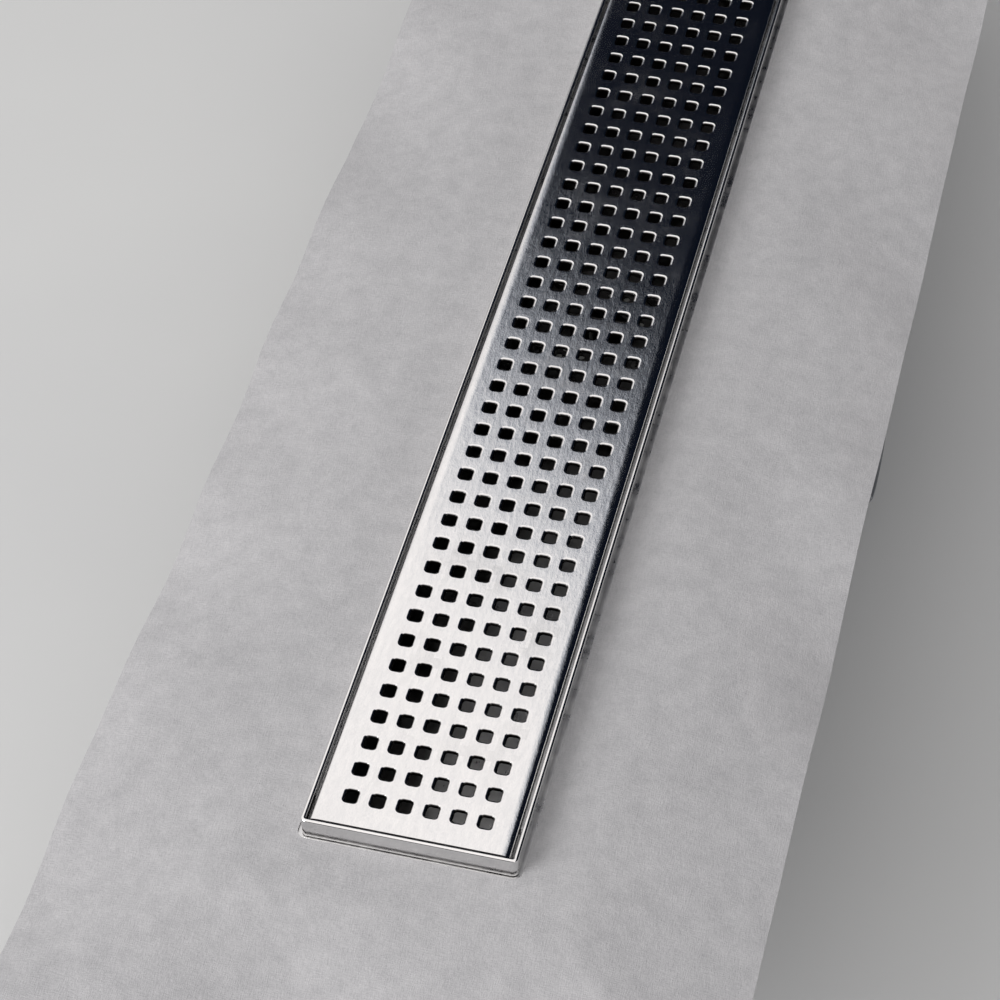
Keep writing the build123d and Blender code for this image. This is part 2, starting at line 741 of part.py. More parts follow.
with BuildPart() as leg_wing_nuts:
    for plane, (side, end) in zip(bolt_planes, CORNERS):
        with BuildSketch(plane.offset(nut_face)):
            Circle(hub_radius)
        extrude(amount=hub_length, taper=hub_taper)
        # two wings spread from the hub, above and below the bolt
        across = Plane(origin=(0, end * leg_along, bolt_z), x_dir=(side, 0, 0), z_dir=(0, -side, 0))
        with BuildSketch(across):
            for turn in ENDS:
                with BuildLine():
                    corners = [(nut_face + out, turn * up) for out, up in wing_outline]
                    wing = Polyline(*corners, close=True)
                    fillet(wing.vertices(), wing_corner)
                make_face()
        extrude(amount=wing_thickness / 2, both=True)
        with BuildSketch(plane.offset(nut_face - 1)):
            Circle(bolt_radius + thread_play)
        extrude(amount=4 * hub_length, mode=Mode.SUBTRACT)
leg_wing_nuts.part.label = "leg_wing_nuts"
export_step(leg_wing_nuts.part, "parts/leg_wing_nuts.step")
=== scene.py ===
import json
from math import cos, radians, sin, tau

import bmesh
import bpy
from mathutils import Euler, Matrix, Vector, noise


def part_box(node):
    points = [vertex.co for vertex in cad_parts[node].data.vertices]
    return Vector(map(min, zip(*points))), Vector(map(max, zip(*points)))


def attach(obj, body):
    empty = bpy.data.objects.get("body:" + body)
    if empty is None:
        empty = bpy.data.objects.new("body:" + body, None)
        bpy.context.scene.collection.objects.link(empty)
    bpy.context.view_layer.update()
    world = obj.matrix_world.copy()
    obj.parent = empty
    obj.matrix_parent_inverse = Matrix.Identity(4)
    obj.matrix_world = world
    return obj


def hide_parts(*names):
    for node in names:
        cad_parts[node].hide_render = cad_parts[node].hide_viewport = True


# Linear shower drain. Metres, in the CAD model's frame: X across, Y along, Z up from the floor.

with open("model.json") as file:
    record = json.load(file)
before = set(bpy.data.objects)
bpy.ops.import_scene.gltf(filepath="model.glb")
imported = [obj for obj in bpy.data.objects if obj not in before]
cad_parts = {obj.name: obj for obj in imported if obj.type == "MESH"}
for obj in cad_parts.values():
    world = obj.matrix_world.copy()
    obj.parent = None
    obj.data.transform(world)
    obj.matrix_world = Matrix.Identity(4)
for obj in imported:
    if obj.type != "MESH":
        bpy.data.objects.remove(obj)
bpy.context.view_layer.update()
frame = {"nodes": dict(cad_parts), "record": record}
NODES = frame["nodes"]
GRATE_LOW, GRATE_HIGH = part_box("grate")
FRAME_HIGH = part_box("tile_frame")[1]
COLLAR_LOW, COLLAR_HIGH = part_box("sealing_collar")
BOND_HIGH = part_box("bond_strip")[1]
SHARP_ANGLE = radians(40)  # edges that turn by more than this stay sharp


# ---- the grate's dimensions ----
COLUMNS, ROWS = 6, 47
PITCH_X, PITCH_Y = 0.010, 0.0125
FIELD_X, FIELD_Y = COLUMNS * PITCH_X / 2, ROWS * PITCH_Y / 2  # half the size of the field of holes
HOLE_X, HOLE_Y, HOLE_CORNER = 0.0044, 0.0052, 0.0010
ROLL = 0.00115  # radius of the rounding that the punch leaves round each hole
ROLL_STEPS = 6
CORNER_STEPS = 5
FILM_FROM, FILM_FULL = 0.00015, 0.00036  # depths between which the painted shade on the wall of a hole sets in and turns full
CLEAN_WALL = 0.0019  # from this far right of a hole's middle its wall, lit from the left, gets no painted shade, except in the corner that is this far beyond its middle
FAR_CORNER = 0.0013  # in the corner that is this far beyond its middle
SHEET = 0.0015
BEND = 0.0016  # outside radius of the folded sides
BEND_STEPS = 8
CROWN_START = 0.0329  # from here outwards the margin curves down towards the fold
CROWN_CURVE = 50.0  # per metre
CROWN_STEPS = 8
SKIRT_CUTBACK = 0.0145  # the folded sides stop this far short of the grate's ends


# ============================ materials ============================

def new_material(name, base, roughness, metallic=0.0):
    """A new material, its node tree, its shader and the object coordinates that textures use."""
    material = bpy.data.materials.new(name)
    material.use_nodes = True
    tree = material.node_tree
    shader = tree.nodes["Principled BSDF"]
    shader.inputs["Base Color"].default_value = (*base, 1)
    shader.inputs["Roughness"].default_value = roughness
    shader.inputs["Metallic"].default_value = metallic
    coordinates = tree.nodes.new("ShaderNodeTexCoord")
    return material, tree, shader, coordinates.outputs["Object"]


def separated(tree, vector):
    """The X, Y and Z of a vector."""
    parts = tree.nodes.new("ShaderNodeSeparateXYZ")
    tree.links.new(vector, parts.inputs["Vector"])
    return parts.outputs


def stretched(tree, vector, scale):
    mapping = tree.nodes.new("ShaderNodeMapping")
    mapping.inputs["Scale"].default_value = scale
    tree.links.new(vector, mapping.inputs["Vector"])
    return mapping.outputs["Vector"]


def noise_of(tree, vector, scale, detail=2.0, roughness=0.5):
    texture = tree.nodes.new("ShaderNodeTexNoise")
    texture.inputs["Scale"].default_value = scale
    texture.inputs["Detail"].default_value = detail
    texture.inputs["Roughness"].default_value = roughness
    tree.links.new(vector, texture.inputs["Vector"])
    return texture.outputs["Fac"]


def mapped(tree, value, low, high, start=0.0, end=1.0):
    """value, clamped from start..end onto low..high."""
    node = tree.nodes.new("ShaderNodeMapRange")
    node.inputs["From Min"].default_value = start
    node.inputs["From Max"].default_value = end
    node.inputs["To Min"].default_value = low
    node.inputs["To Max"].default_value = high
    tree.links.new(value, node.inputs["Value"])
    return node.outputs["Result"]


def maths(tree, operation, first, second):
    node = tree.nodes.new("ShaderNodeMath")
    node.operation = operation
    for socket, value in zip(node.inputs, (first, second)):
        if isinstance(value, (int, float)):
            socket.default_value = value
        else:
            tree.links.new(value, socket)
    return node.outputs["Value"]


def nearer_than(tree, value, limit):
    """1 where value is less than limit from zero on either side, else 0."""
    return maths(tree, "LESS_THAN", maths(tree, "ABSOLUTE", value, 0.0), limit)


def blend_colours(tree, factor, first, second):
    node = tree.nodes.new("ShaderNodeMix")
    node.data_type = "RGBA"
    tree.links.new(factor, node.inputs["Factor"])
    for socket, value in ((node.inputs["A"], first), (node.inputs["B"], second)):
        if isinstance(value, tuple):
            socket.default_value = (*value, 1)
        else:
            tree.links.new(value, socket)
    return node.outputs["Result"]


def bump(tree, shader, height, strength, distance, below=None):
    node = tree.nodes.new("ShaderNodeBump")
    node.inputs["Strength"].default_value = strength
    node.inputs["Distance"].default_value = distance
    tree.links.new(height, node.inputs["Height"])
    if below is not None:
        tree.links.new(below, node.inputs["Normal"])
    tree.links.new(node.outputs["Normal"], shader.inputs["Normal"])
    return node.outputs["Normal"]


# near-black of the dark cover: painted shade in the channel and the grate's holes, a film on the wetted
# parts
FILM_COLOUR = (0.012, 0.011, 0.010)
FILM_ROUGHNESS = 0.2  # what the dark cover, film and painted shade alike, adds to the roughness of the steel under it
THREAD_DEPTH = 0.0004


def brushed_steel(name, base, darker, roughness, grain, depth, dulling=0.07, film=None, thread=None):
    """Steel with a grain along one axis, fine scratches, and faint smudges that dull it.

    grain is the stretch of the grain's texture along X, Y and Z. dulling is the roughness that the
    smudges add. A mask function may darken the steel towards a near-black: painted shade inside the channel
    and in the grate's holes, a dark film on the wetted parts. thread cuts a thread of that axis and pitch."""
    material, tree, shader, place = new_material(name, base, roughness, 1.0)
    lines = noise_of(tree, stretched(tree, place, grain), 1.0, 3.0, 0.65)
    streaks = noise_of(tree, stretched(tree, place, tuple(g * 0.22 for g in grain)), 1.0, 2.0)
    smudges = noise_of(tree, place, 38.0, 4.0, 0.6)
    tone = maths(tree, "ADD", maths(tree, "MULTIPLY", lines, 0.45), maths(tree, "MULTIPLY", streaks, 0.3))
    tone = maths(tree, "ADD", tone, maths(tree, "MULTIPLY", smudges, 0.25))
    colour = blend_colours(tree, mapped(tree, tone, 0, 1, 0.38, 0.62), darker, base)
    tree.links.new(colour, shader.inputs["Base Color"])
    rough = maths(tree, "ADD", mapped(tree, lines, roughness * 0.7, roughness * 1.4, 0.3, 0.7),
                  mapped(tree, smudges, 0.0, dulling, 0.5, 0.75))
    tree.links.new(rough, shader.inputs["Roughness"])
    relief = maths(tree, "ADD", lines, maths(tree, "MULTIPLY", streaks, 2.0))
    normal = bump(tree, shader, relief, 0.35, depth)
    # the dark cover passed in is painted shade for the channel and the grate's holes, and a film for the
    # wetted parts
    if film is not None:
        cover = film(tree, place, smudges)
        tree.links.new(blend_colours(tree, cover, colour, FILM_COLOUR), shader.inputs["Base Color"])
        rougher = maths(tree, "ADD", rough, mapped(tree, cover, 0.0, FILM_ROUGHNESS))
        tree.links.new(rougher, shader.inputs["Roughness"])
    if thread is not None:
        axis, pitch = thread
        bands = tree.nodes.new("ShaderNodeTexWave")
        bands.bands_direction = axis
        bands.wave_profile = "TRI"
        bands.inputs["Scale"].default_value = tau / 20 / pitch  # the wave texture repeats every tau / 20
        tree.links.new(place, bands.inputs["Vector"])
        bump(tree, shader, bands.outputs["Fac"], 1.0, THREAD_DEPTH, normal)
    return material


def trough_film(tree, place, smudges):
    """Painted shade inside the channel: dark along the left and towards the trap, light at the front right.
    """
    x, y, z = separated(tree, place)
    in_plan = maths(tree, "MULTIPLY", nearer_than(tree, x, TROUGH_INSIDE.x),
                    nearer_than(tree, y, TROUGH_INSIDE.y))
    inside = maths(tree, "MULTIPLY", in_plan, maths(tree, "GREATER_THAN", z, TROUGH_INSIDE.z))
    # painted shade: the bed is drawn darker towards the back and along the left, where the light through the
    # holes does not reach
    clean_front = mapped(tree, y, 1.0, 0.05, -0.225, -0.07)
    clean_right = mapped(tree, x, 0.12, 1.0, -0.012, 0.004)
    clean = maths(tree, "MULTIPLY", clean_front, clean_right)
    patchy = maths(tree, "ADD", clean, mapped(tree, smudges, -0.12, 0.12, 0.3, 0.7))
    return maths(tree, "MULTIPLY", inside, mapped(tree, patchy, 1.0, 0.0))


def hole_wall_film(tree, place, smudges):
    """Painted shade low on the walls of the grate's holes, except on the lit right of each."""
    x, y, z = separated(tree, place)
    in_field = maths(tree, "MULTIPLY", nearer_than(tree, x, FIELD_X), nearer_than(tree, y, FIELD_Y))
    in_column = maths(tree, "MODULO", maths(tree, "ADD", x, FIELD_X), PITCH_X)
    in_row = maths(tree, "MODULO", maths(tree, "ADD", y, FIELD_Y), PITCH_Y)
    # painted shade: each hole's wall is drawn dark except on its right, which the light from the left
    # reaches, and also dark in its far corner
    dark_side = maths(tree, "MAXIMUM", maths(tree, "LESS_THAN", in_column, PITCH_X / 2 + CLEAN_WALL),
                      maths(tree, "GREATER_THAN", in_row, PITCH_Y / 2 + FAR_CORNER))
    deep = mapped(tree, z, 1.0, 0.0, GRATE_HIGH.z - FILM_FULL, GRATE_HIGH.z - FILM_FROM)
    ragged = maths(tree, "ADD", deep, mapped(tree, smudges, -0.1, 0.1, 0.3, 0.7))
    where = maths(tree, "MULTIPLY", in_field, dark_side)
    return maths(tree, "MULTIPLY", where, mapped(tree, ragged, 0.0, 1.0))


def all_over_film(tree, place, smudges):
    """An even film with lighter patches."""
    return mapped(tree, smudges, 0.93, 0.72, 0.35, 0.7)


def moulded_plastic(name, base, lighter, roughness, grain=900.0):
    """Plastic with a fine spark-eroded texture, slight flow marks and dust."""
    material, tree, shader, place = new_material(name, base, roughness)
    fine = noise_of(tree, place, grain, 2.0)
    broad = noise_of(tree, place, 22.0, 3.0)
    tree.links.new(blend_colours(tree, mapped(tree, broad, 0, 1, 0.35, 0.7), base, lighter),
                   shader.inputs["Base Color"])
    tree.links.new(mapped(tree, broad, roughness - 0.07, roughness + 0.08, 0.3, 0.7),
                   shader.inputs["Roughness"])
    bump(tree, shader, fine, 0.25, 0.0002)
    return material


def rubber(name, base, lighter):
    material, tree, shader, place = new_material(name, base, 0.75)
    bloom = noise_of(tree, place, 60.0, 4.0)
    fine = noise_of(tree, place, 1500.0, 1.0)
    tree.links.new(blend_colours(tree, mapped(tree, bloom, 0, 1, 0.45, 0.75), base, lighter),
                   shader.inputs["Base Color"])
    tree.links.new(mapped(tree, bloom, 0.62, 0.85, 0.3, 0.7), shader.inputs["Roughness"])
    bump(tree, shader, fine, 0.3, 0.0002)
    return material


def galvanised_steel(name):
    """Zinc-coated steel: flat crystals of slightly different grey, with fine dust."""
    material, tree, shader, place = new_material(name, (0.5, 0.52, 0.54), 0.42, 0.9)
    cells = tree.nodes.new("ShaderNodeTexVoronoi")
    cells.inputs["Scale"].default_value = 170.0
    cells.inputs["Randomness"].default_value = 1.0
    tree.links.new(stretched(tree, place, (1.0, 1.0, 0.55)), cells.inputs["Vector"])
    shade = tree.nodes.new("ShaderNodeSeparateColor")
    tree.links.new(cells.outputs["Color"], shade.inputs["Color"])
    dust = noise_of(tree, place, 90.0, 4.0)
    crystal = blend_colours(tree, shade.outputs["Red"], (0.42, 0.44, 0.46), (0.62, 0.64, 0.66))
    tree.links.new(blend_colours(tree, mapped(tree, dust, 0, 0.5, 0.5, 0.8), crystal, (0.66, 0.66, 0.65)),
                   shader.inputs["Base Color"])
    tree.links.new(mapped(tree, shade.outputs["Green"], 0.32, 0.52), shader.inputs["Roughness"])
    bump(tree, shader, shade.outputs["Blue"], 0.12, 0.0002)
    return material


def fleece(name):
    """Non-woven fleece: short crossing fibres pressed flat, pale grey, with faint mottling."""
    material, tree, shader, place = new_material(name, (0.62, 0.61, 0.63), 0.9)
    fibres_one = noise_of(tree, stretched(tree, place, (2600.0, 420.0, 900.0)), 1.0, 2.0)
    fibres_two = noise_of(tree, stretched(tree, place, (420.0, 2600.0, 900.0)), 1.0, 2.0)
    mottle = noise_of(tree, place, 120.0, 5.0, 0.6)
    cloud = noise_of(tree, place, 9.0, 3.0)
    web = maths(tree, "ADD", fibres_one, fibres_two)
    tone = maths(tree, "ADD", maths(tree, "MULTIPLY", web, 0.25), maths(tree, "MULTIPLY", mottle, 0.35))
    tone = maths(tree, "ADD", tone, maths(tree, "MULTIPLY", cloud, 0.15))
    tone = mapped(tree, tone, 0, 1, 0.36, 0.66)
    colour = blend_colours(tree, tone, (0.37, 0.365, 0.375), (0.52, 0.51, 0.52))
    tree.links.new(colour, shader.inputs["Base Color"])
    shader.inputs["Sheen Weight"].default_value = 0.15
    shader.inputs["Sheen Roughness"].default_value = 0.6
    bump(tree, shader, maths(tree, "ADD", web, mottle), 0.5, 0.0004)
    return material


# stretches of the grain's texture along X, Y and Z
GRAIN_ALONG = (5200.0, 60.0, 5200.0)
GRAIN_FINE = (3000.0, 900.0, 3000.0)
GRAIN_ROUND = (900.0, 900.0, 5200.0)
GRAIN_COARSE = (300.0, 160.0, 300.0)
# Limits of the painted shade in the channel: half its width, half its length and its lowest height. The
# bed slopes up from the middle of the channel, so away from there the painted shade covers the bed's
# underside too.
TROUGH_INSIDE = Vector((0.0374, 0.3003, 0.0802))

SATIN = brushed_steel("steel_satin", (0.77, 0.765, 0.76), (0.67, 0.67, 0.675), 0.085, GRAIN_FINE, 0.00004,
                      dulling=0.03, film=hole_wall_film)
POLISHED = brushed_steel("steel_polished", (0.80, 0.795, 0.79), (0.74, 0.735, 0.73), 0.12, GRAIN_ALONG,
                         0.000004)
PICKLED = brushed_steel("steel_pickled", (0.42, 0.42, 0.43), (0.32, 0.32, 0.33), 0.30, GRAIN_COARSE, 0.00003)
CHANNEL = brushed_steel("steel_channel", (0.74, 0.74, 0.74), (0.56, 0.56, 0.57), 0.30, GRAIN_COARSE, 0.00003,
                        film=trough_film)
WETTED = brushed_steel("steel_wetted", (0.55, 0.55, 0.55), (0.45, 0.45, 0.45), 0.25, GRAIN_ROUND, 0.00002,
                       film=all_over_film)
BRIGHT = brushed_steel("steel_bright", (0.72, 0.72, 0.72), (0.55, 0.55, 0.55), 0.25, GRAIN_ROUND, 0.00002)
SCREWS = brushed_steel("steel_threaded", (0.66, 0.66, 0.66), (0.5, 0.5, 0.5), 0.25, GRAIN_ROUND, 0.00002,
                       thread=("Z", 0.0008))
BOLTS = brushed_steel("steel_bolts", (0.66, 0.66, 0.66), (0.5, 0.5, 0.5), 0.25, GRAIN_ROUND, 0.00002,
                      thread=("X", 0.001))
ZINC = galvanised_steel("steel_zinc")
PLASTIC_GREY = moulded_plastic("plastic_grey", (0.19, 0.20, 0.215), (0.23, 0.24, 0.255), 0.45)
PLASTIC_DARK = moulded_plastic("plastic_dark", (0.022, 0.023, 0.026), (0.035, 0.036, 0.04), 0.42)
PLASTIC_WHITE = moulded_plastic("plastic_white", (0.72, 0.72, 0.69), (0.78, 0.78, 0.76), 0.36)
RUBBER = rubber("rubber_black", (0.018, 0.018, 0.019), (0.05, 0.05, 0.052))
BUTYL = rubber("butyl", (0.03, 0.03, 0.034), (0.05, 0.05, 0.055))
FLEECE = fleece("fleece")

BY_SLOT = {
    "stainless_brushed": SATIN, "stainless_polished": POLISHED, "stainless_pickled": PICKLED,
    "steel_screws": BRIGHT, "steel_zinc": ZINC, "rubber_black": RUBBER, "butyl": BUTYL, "fleece": FLEECE,
    "plastic_grey": PLASTIC_GREY, "plastic_dark": PLASTIC_DARK, "plastic_white": PLASTIC_WHITE,
}
BY_NODE = {"channel": CHANNEL, "hair_strainer": WETTED, "strainer_handle": WETTED, "clamp_ring": WETTED,
           "clamp_screws": WETTED, "leg_bolts": BOLTS}
for corner in range(1, 5):
    BY_NODE[f"height_screw_{corner}"] = SCREWS
for part in frame["record"]["subparts"]:
    mesh = NODES[part["node"]].data
    mesh.materials.clear()
    mesh.materials.append(BY_NODE.get(part["node"], BY_SLOT[part["material_slot"]]))


# ============================ making pieces ============================

def piece_from(name, vertices, faces, material, body):
    """A smooth-shaded piece made of these faces, welded, with its outsides facing out."""
    mesh = bpy.data.meshes.new(name)
    mesh.from_pydata(vertices, [], faces)
    work = bmesh.new()
    work.from_mesh(mesh)
    bmesh.ops.remove_doubles(work, verts=work.verts, dist=1e-6)
    bmesh.ops.recalc_face_normals(work, faces=work.faces)
    work.to_mesh(mesh)
    work.free()
    mesh.validate()
    mesh.polygons.foreach_set("use_smooth", [True] * len(mesh.polygons))
    mesh.materials.append(material)
    piece = bpy.data.objects.new(name, mesh)
    bpy.context.scene.collection.objects.link(piece)
    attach(piece, body)
    return piece


def weighted_normals(piece):
    """Large flat faces keep their own normal, so that only the rounded edges shade round."""
    piece.data.set_sharp_from_angle(angle=SHARP_ANGLE)
    modifier = piece.modifiers.new("weighted", "WEIGHTED_NORMAL")
    modifier.weight = 100
    modifier.keep_sharp = True
    modifier.mode = "FACE_AREA"


# ---- grate: a punched sheet with rolled hole edges and folded sides ----

def hole_ring(grow):
    """Points of the hole's outline grown outwards, four corners of arcs, anticlockwise from +X."""
    points = []
    for quarter in range(4):
        middle = radians(45 + 90 * quarter)
        corner_x = (HOLE_X / 2 - HOLE_CORNER) * (1 if cos(middle) > 0 else -1)
        corner_y = (HOLE_Y / 2 - HOLE_CORNER) * (1 if sin(middle) > 0 else -1)
        for step in range(CORNER_STEPS + 1):
            angle = radians(90 * quarter) + radians(90) * step / CORNER_STEPS
            points.append((corner_x + (HOLE_CORNER + grow) * cos(angle),
                           corner_y + (HOLE_CORNER + grow) * sin(angle)))
    return points


def hole_profile():
    """(growth of the outline, height under the top) down the wall of one hole."""
    profile = []
    for step in range(ROLL_STEPS + 1):
        angle = radians(90) * step / ROLL_STEPS
        profile.append((ROLL * (1 - sin(angle)), ROLL * (1 - cos(angle))))
    profile.append((0.0, SHEET))
    return profile


def add_cell(vertices, faces, centre, top):
    """One pitch of the sheet: its top with the hole, the hole's wall, and its underside."""
    x, y = centre
    rings = [[(x + px, y + py, top - depth) for px, py in hole_ring(grow)]
             for grow, depth in hole_profile()]
    count = len(rings[0])
    first = len(vertices)
    for ring in rings:
        vertices.extend(ring)
    for level in range(len(rings) - 1):
        for at in range(count):
            after = (at + 1) % count
            faces.append((first + level * count + at, first + (level + 1) * count + at,
                          first + (level + 1) * count + after, first + level * count + after))
    per = CORNER_STEPS + 1
    for level, height, up in ((0, top, True), (len(rings) - 1, top - SHEET, False)):
        corners = [(x + sx * PITCH_X / 2, y + sy * PITCH_Y / 2, height)
                   for sx, sy in ((1, 1), (-1, 1), (-1, -1), (1, -1))]
        corner_first = len(vertices)
        vertices.extend(corners)
        start = first + level * count
        middle = per // 2
        for quarter in range(4):
            # from the middle of one corner arc to the middle of the next
            along = [start + (quarter * per + middle + k) % count for k in range(per + 1)]
            face = along + [corner_first + (quarter + 1) % 4, corner_first + quarter]
            faces.append(tuple(face if up else face[::-1]))


def margin_sections(top, half_x):
    """The outer and inner (x, z) lines of the right-hand margin and fold, and the fold's lower edge."""
    outer, inner = [(FIELD_X, top)], [(FIELD_X, top - SHEET)]
    fold_start = (half_x - BEND - BEND * CROWN_CURVE * CROWN_START) / (1 - BEND * CROWN_CURVE)
    for step in range(CROWN_STEPS):
        x = CROWN_START + (fold_start - CROWN_START) * step / CROWN_STEPS
        sink = CROWN_CURVE * (x - CROWN_START) ** 2 / 2
        outer.append((x, top - sink))
        inner.append((x, top - SHEET - sink))
    first_tilt = CROWN_CURVE * (fold_start - CROWN_START)
    fold_top = top - CROWN_CURVE * (fold_start - CROWN_START) ** 2 / 2 + BEND * (cos(first_tilt) - 1)
    for step in range(BEND_STEPS + 1):
        angle = first_tilt + (radians(90) - first_tilt) * step / BEND_STEPS
        for line, radius in ((outer, BEND), (inner, BEND - SHEET)):
            line.append((half_x - BEND + radius * sin(angle), fold_top - BEND + radius * cos(angle)))
    return outer, inner, fold_top - BEND


def grate_sheet():
    """The field of holes, the crowned margins with their folded sides, and the plain ends."""
    top, bottom = GRATE_HIGH.z, GRATE_LOW.z
    half_x, half_y = GRATE_HIGH.x, GRATE_HIGH.y
    inside_x = half_x - SHEET
    cut_y = half_y - SKIRT_CUTBACK
    vertices, faces = [], []
    for row in range(ROWS):
        for column in range(COLUMNS):
            centre = ((column + 0.5) * PITCH_X - FIELD_X, (row + 0.5) * PITCH_Y - FIELD_Y)
            add_cell(vertices, faces, centre, top)

    def quad(*corners):
        first = len(vertices)
        vertices.extend(corners)
        faces.append(tuple(range(first, first + 4)))

    outer, inner, fold_low = margin_sections(top, half_x)
    rows_at = [index * PITCH_Y - FIELD_Y for index in range(ROWS + 1)]
    columns_at = [index * PITCH_X - FIELD_X for index in range(COLUMNS + 1)]
    stations = sorted({-half_y, *rows_at, half_y, cut_y, -cut_y})
    for side in (-1, 1):
        out, into = side * half_x, side * inside_x
        for start, end in zip(stations, stations[1:]):
            for line in (outer, inner):
                for (x0, z0), (x1, z1) in zip(line, line[1:]):
                    quad((side * x0, start, z0), (side * x1, start, z1),
                         (side * x1, end, z1), (side * x0, end, z0))
            has_skirt = -cut_y <= start and end <= cut_y
            low = bottom if has_skirt else fold_low
            if has_skirt:
                for x in (out, into):
                    quad((x, start, fold_low), (x, start, bottom), (x, end, bottom), (x, end, fold_low))
            quad((out, start, low), (into, start, low), (into, end, low), (out, end, low))
        for y in (-cut_y, cut_y):
            quad((out, y, fold_low), (into, y, fold_low), (into, y, bottom), (out, y, bottom))
        for y in (-half_y, half_y):
            for (a, b), (c, d) in zip(zip(outer, inner), zip(outer[1:], inner[1:])):
                quad((side * a[0], y, a[1]), (side * c[0], y, c[1]),
                     (side * d[0], y, d[1]), (side * b[0], y, b[1]))
    for end in (-1, 1):
        for left, right in zip(columns_at, columns_at[1:]):
            for height in (top, top - SHEET):
                quad((left, end * FIELD_Y, height), (right, end * FIELD_Y, height),
                     (right, end * half_y, height), (left, end * half_y, height))
            quad((left, end * half_y, top), (right, end * half_y, top),
                 (right, end * half_y, top - SHEET), (left, end * half_y, top - SHEET))
    piece = piece_from("grate_sheet", vertices, faces, SATIN, "grate")
    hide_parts("grate")
    weighted_normals(piece)


grate_sheet()


# ---- sealing collar: soft fleece that droops a little beyond the flange ----

COLLAR_MARGIN = 0.0015  # clearance round the frame
COLLAR_CORNER_OUT, COLLAR_CORNER_IN = 0.012, 0.0035
COLLAR_RINGS = 15
SPANS_X, SPANS_Y, ARC_SPANS = 16, 48, 5  # divisions of its short sides, long sides and corners
SUNK = 0.0003  # the sheet lies this far below its CAD solid, into the butyl strip
DROOP, WAVE, WAVE_SCALE = 0.9, 0.16, 14  # how fast the free edge falls, and its slow waves
RIPPLE, RIPPLE_SCALE = 0.00025, 60


def rounded_rectangle(half_x, half_y, corner):
    """Points anticlockwise from the +X end of the first corner, evenly spaced along each side."""
    points = []
    middles = [(sx * (half_x - corner), sy * (half_y - corner))
               for sx, sy in ((1, 1), (-1, 1), (-1, -1), (1, -1))]
    for quarter, (x, y) in enumerate(middles):
        for step in range(ARC_SPANS + 1):
            angle = radians(90 * quarter + 90 * step / ARC_SPANS)
            points.append((x + corner * cos(angle), y + corner * sin(angle)))
        next_x, next_y = middles[(quarter + 1) % 4]
        angle = radians(90 * (quarter + 1))
        start_x, start_y = points[-1]
        end_x, end_y = next_x + corner * cos(angle), next_y + corner * sin(angle)
        count = SPANS_X if quarter % 2 == 0 else SPANS_Y
        for step in range(1, count):
            share = step / count
            points.append((start_x + (end_x - start_x) * share, start_y + (end_y - start_y) * share))
    return points


def collar_sheet():
    inner_x, inner_y = FRAME_HIGH.x + COLLAR_MARGIN, FRAME_HIGH.y + COLLAR_MARGIN
    outer_x, outer_y = COLLAR_HIGH.x, COLLAR_HIGH.y
    top, thick = COLLAR_HIGH.z, COLLAR_HIGH.z - COLLAR_LOW.z
    flange_x = BOND_HIGH.x
    flange_y = flange_x - inner_x + inner_y
    inner = rounded_rectangle(inner_x, inner_y, COLLAR_CORNER_IN)
    outer = rounded_rectangle(outer_x, outer_y, COLLAR_CORNER_OUT)
    count = len(inner)

    def height(x, y):
        free = max(0.0, max(abs(x) - flange_x, abs(y) - flange_y))
        wave = 0.5 + noise.noise(Vector((x * WAVE_SCALE, y * WAVE_SCALE, 3.0)))
        ripple = RIPPLE * noise.noise(Vector((x * RIPPLE_SCALE, y * RIPPLE_SCALE, 7.0)))
        return -SUNK - max(0.0, DROOP * free ** 2 + WAVE * free * wave) + min(0.0, ripple)

    def between(share):
        return [(ax + (bx - ax) * share, ay + (by - ay) * share) for (ax, ay), (bx, by) in zip(inner, outer)]

    # round the sheet's section: over the top outwards, and back along the underside
    shares = [ring / COLLAR_RINGS for ring in range(COLLAR_RINGS + 1)]
    levels = [[(x, y, top + height(x, y)) for x, y in between(share)] for share in shares]
    levels += [[(x, y, top - thick + height(x, y)) for x, y in between(share)] for share in shares[::-1]]
    vertices = [point for row in levels for point in row]
    faces = []
    for ring in range(len(levels)):
        here, there = ring * count, (ring + 1) % len(levels) * count
        for at in range(count):
            after = (at + 1) % count
            faces.append((here + at, there + at, there + after, here + after))
    piece = piece_from("collar_fleece", vertices, faces, FLEECE, "channel")
    piece.data.set_sharp_from_angle(angle=SHARP_ANGLE)
    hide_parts("sealing_collar")


collar_sheet()


# ============================ stage, light and camera ============================

FLOOR = 6.0  # half its width
floor_mesh = bpy.data.meshes.new("floor")
floor_corners = [(-FLOOR, -FLOOR, 0), (FLOOR, -FLOOR, 0), (FLOOR, FLOOR, 0), (-FLOOR, FLOOR, 0)]
floor_mesh.from_pydata(floor_corners, [], [(0, 1, 2, 3)])
floor = bpy.data.objects.new("floor", floor_mesh)
bpy.context.scene.collection.objects.link(floor)
floor_material, floor_tree, floor_shader, floor_place = new_material("floor_pale", (0.62, 0.62, 0.62), 0.8)
floor_cloud = noise_of(floor_tree, floor_place, 3.0, 3.0)
floor_tone = mapped(floor_tree, floor_cloud, 0, 1, 0.35, 0.7)
floor_colour = blend_colours(floor_tree, floor_tone, (0.60, 0.60, 0.60), (0.64, 0.64, 0.635))
floor_tree.links.new(floor_colour, floor_shader.inputs["Base Color"])
floor_mesh.materials.append(floor_material)


def softbox(name, place, aim, size, watts):
    lamp = bpy.data.lights.new(name, "AREA")
    lamp.shape = "RECTANGLE"
    lamp.size, lamp.size_y = size
    lamp.energy = watts
    holder = bpy.data.objects.new(name, lamp)
    holder.location = place
    holder.rotation_euler = (Vector(aim) - Vector(place)).to_track_quat("-Z", "Y").to_euler()
    bpy.context.scene.collection.objects.link(holder)


softbox("key", (-1.5, -1.6, 1.2), (0.0, 0.0, 0.1), (1.2, 1.2), 36)

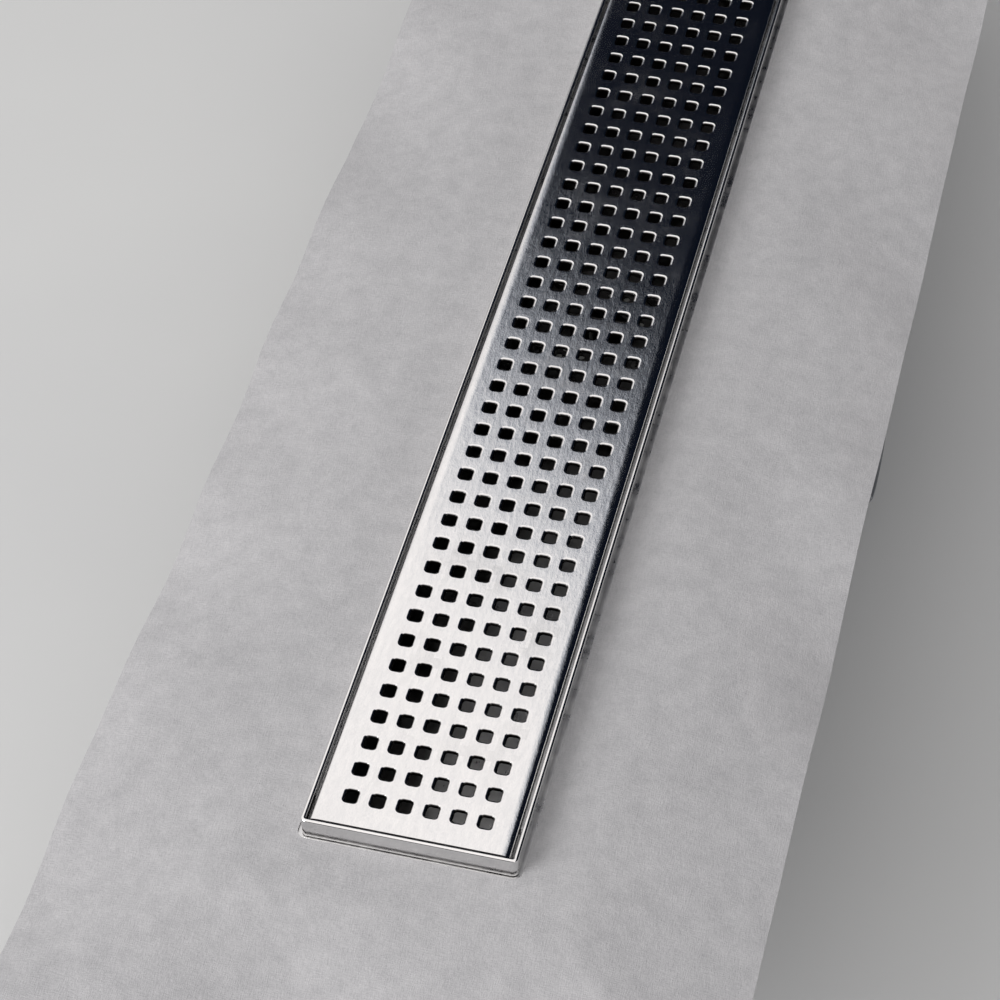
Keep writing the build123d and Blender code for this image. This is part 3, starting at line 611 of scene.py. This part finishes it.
# What the steel mirrors: a wide white cove above, behind and to the left, a dark room ahead and to
# the right, a dark doorway level with the drain on the camera's side, and a dim floor ahead.
COVE_MIDDLE = (-0.6228, -0.6423, 0.4466)
DOORWAY = (0.0, -1.0, 0.0)
FAR_FLOOR = (0.0, 0.8, -0.6)
world = bpy.data.worlds.new("studio")
bpy.context.scene.world = world
world.use_nodes = True
sky = world.node_tree
background = sky.nodes["Background"]
direction = sky.nodes.new("ShaderNodeTexCoord").outputs["Generated"]


def towards(place):
    """The cosine of the angle between the direction looked in and a unit vector."""
    node = sky.nodes.new("ShaderNodeVectorMath")
    node.operation = "DOT_PRODUCT"
    sky.links.new(direction, node.inputs[0])
    node.inputs[1].default_value = place
    return node.outputs["Value"]


towards_cove = towards(COVE_MIDDLE)
cove_edge = mapped(sky, towards_cove, 0.0, 1.0, -0.052, 0.052)
cove_edge.node.interpolation_type = "SMOOTHSTEP"
beside_doorway = mapped(sky, towards(DOORWAY), 1.0, 0.02, 0.78, 0.9)
above_far_floor = mapped(sky, towards(FAR_FLOOR), 1.0, 0.2, 0.12, 0.6)
lit = maths(sky, "MULTIPLY", cove_edge, maths(sky, "MULTIPLY", beside_doorway, above_far_floor))
# the cove is cooler along its edge than further in
cove_light = blend_colours(sky, mapped(sky, towards_cove, 0.0, 1.0, -0.03, 0.04),
                           (1.02, 1.12, 1.30), (1.22, 1.18, 1.165))
mirrored = blend_colours(sky, lit, (0.004, 0.006, 0.012), cove_light)
# matt surfaces are lit by the same room, blurred, and the camera sees a plain pale wall
soft = blend_colours(sky, mapped(sky, towards_cove, 0.0, 1.0, -0.8, 0.8),
                     (0.26, 0.27, 0.29), (0.85, 0.84, 0.83))
path = sky.nodes.new("ShaderNodeLightPath")
seen = blend_colours(sky, path.outputs["Is Diffuse Ray"], mirrored, soft)
surroundings = blend_colours(sky, path.outputs["Is Camera Ray"], seen, (0.72, 0.72, 0.72))
sky.links.new(surroundings, background.inputs["Color"])
background.inputs["Strength"].default_value = 1.0

bpy.context.scene.view_settings.view_transform = "Standard"

camera_data = bpy.data.cameras.new("camera")
camera_data.sensor_width = 36.0
camera_data.lens = 110.7155
camera = bpy.data.objects.new("camera", camera_data)
camera.location = (0.20836, -0.91867, 0.99785)
camera.rotation_euler = Euler((radians(42.6018), radians(1.1126), radians(14.2843)), "XYZ")
bpy.context.scene.collection.objects.link(camera)
bpy.context.scene.camera = camera
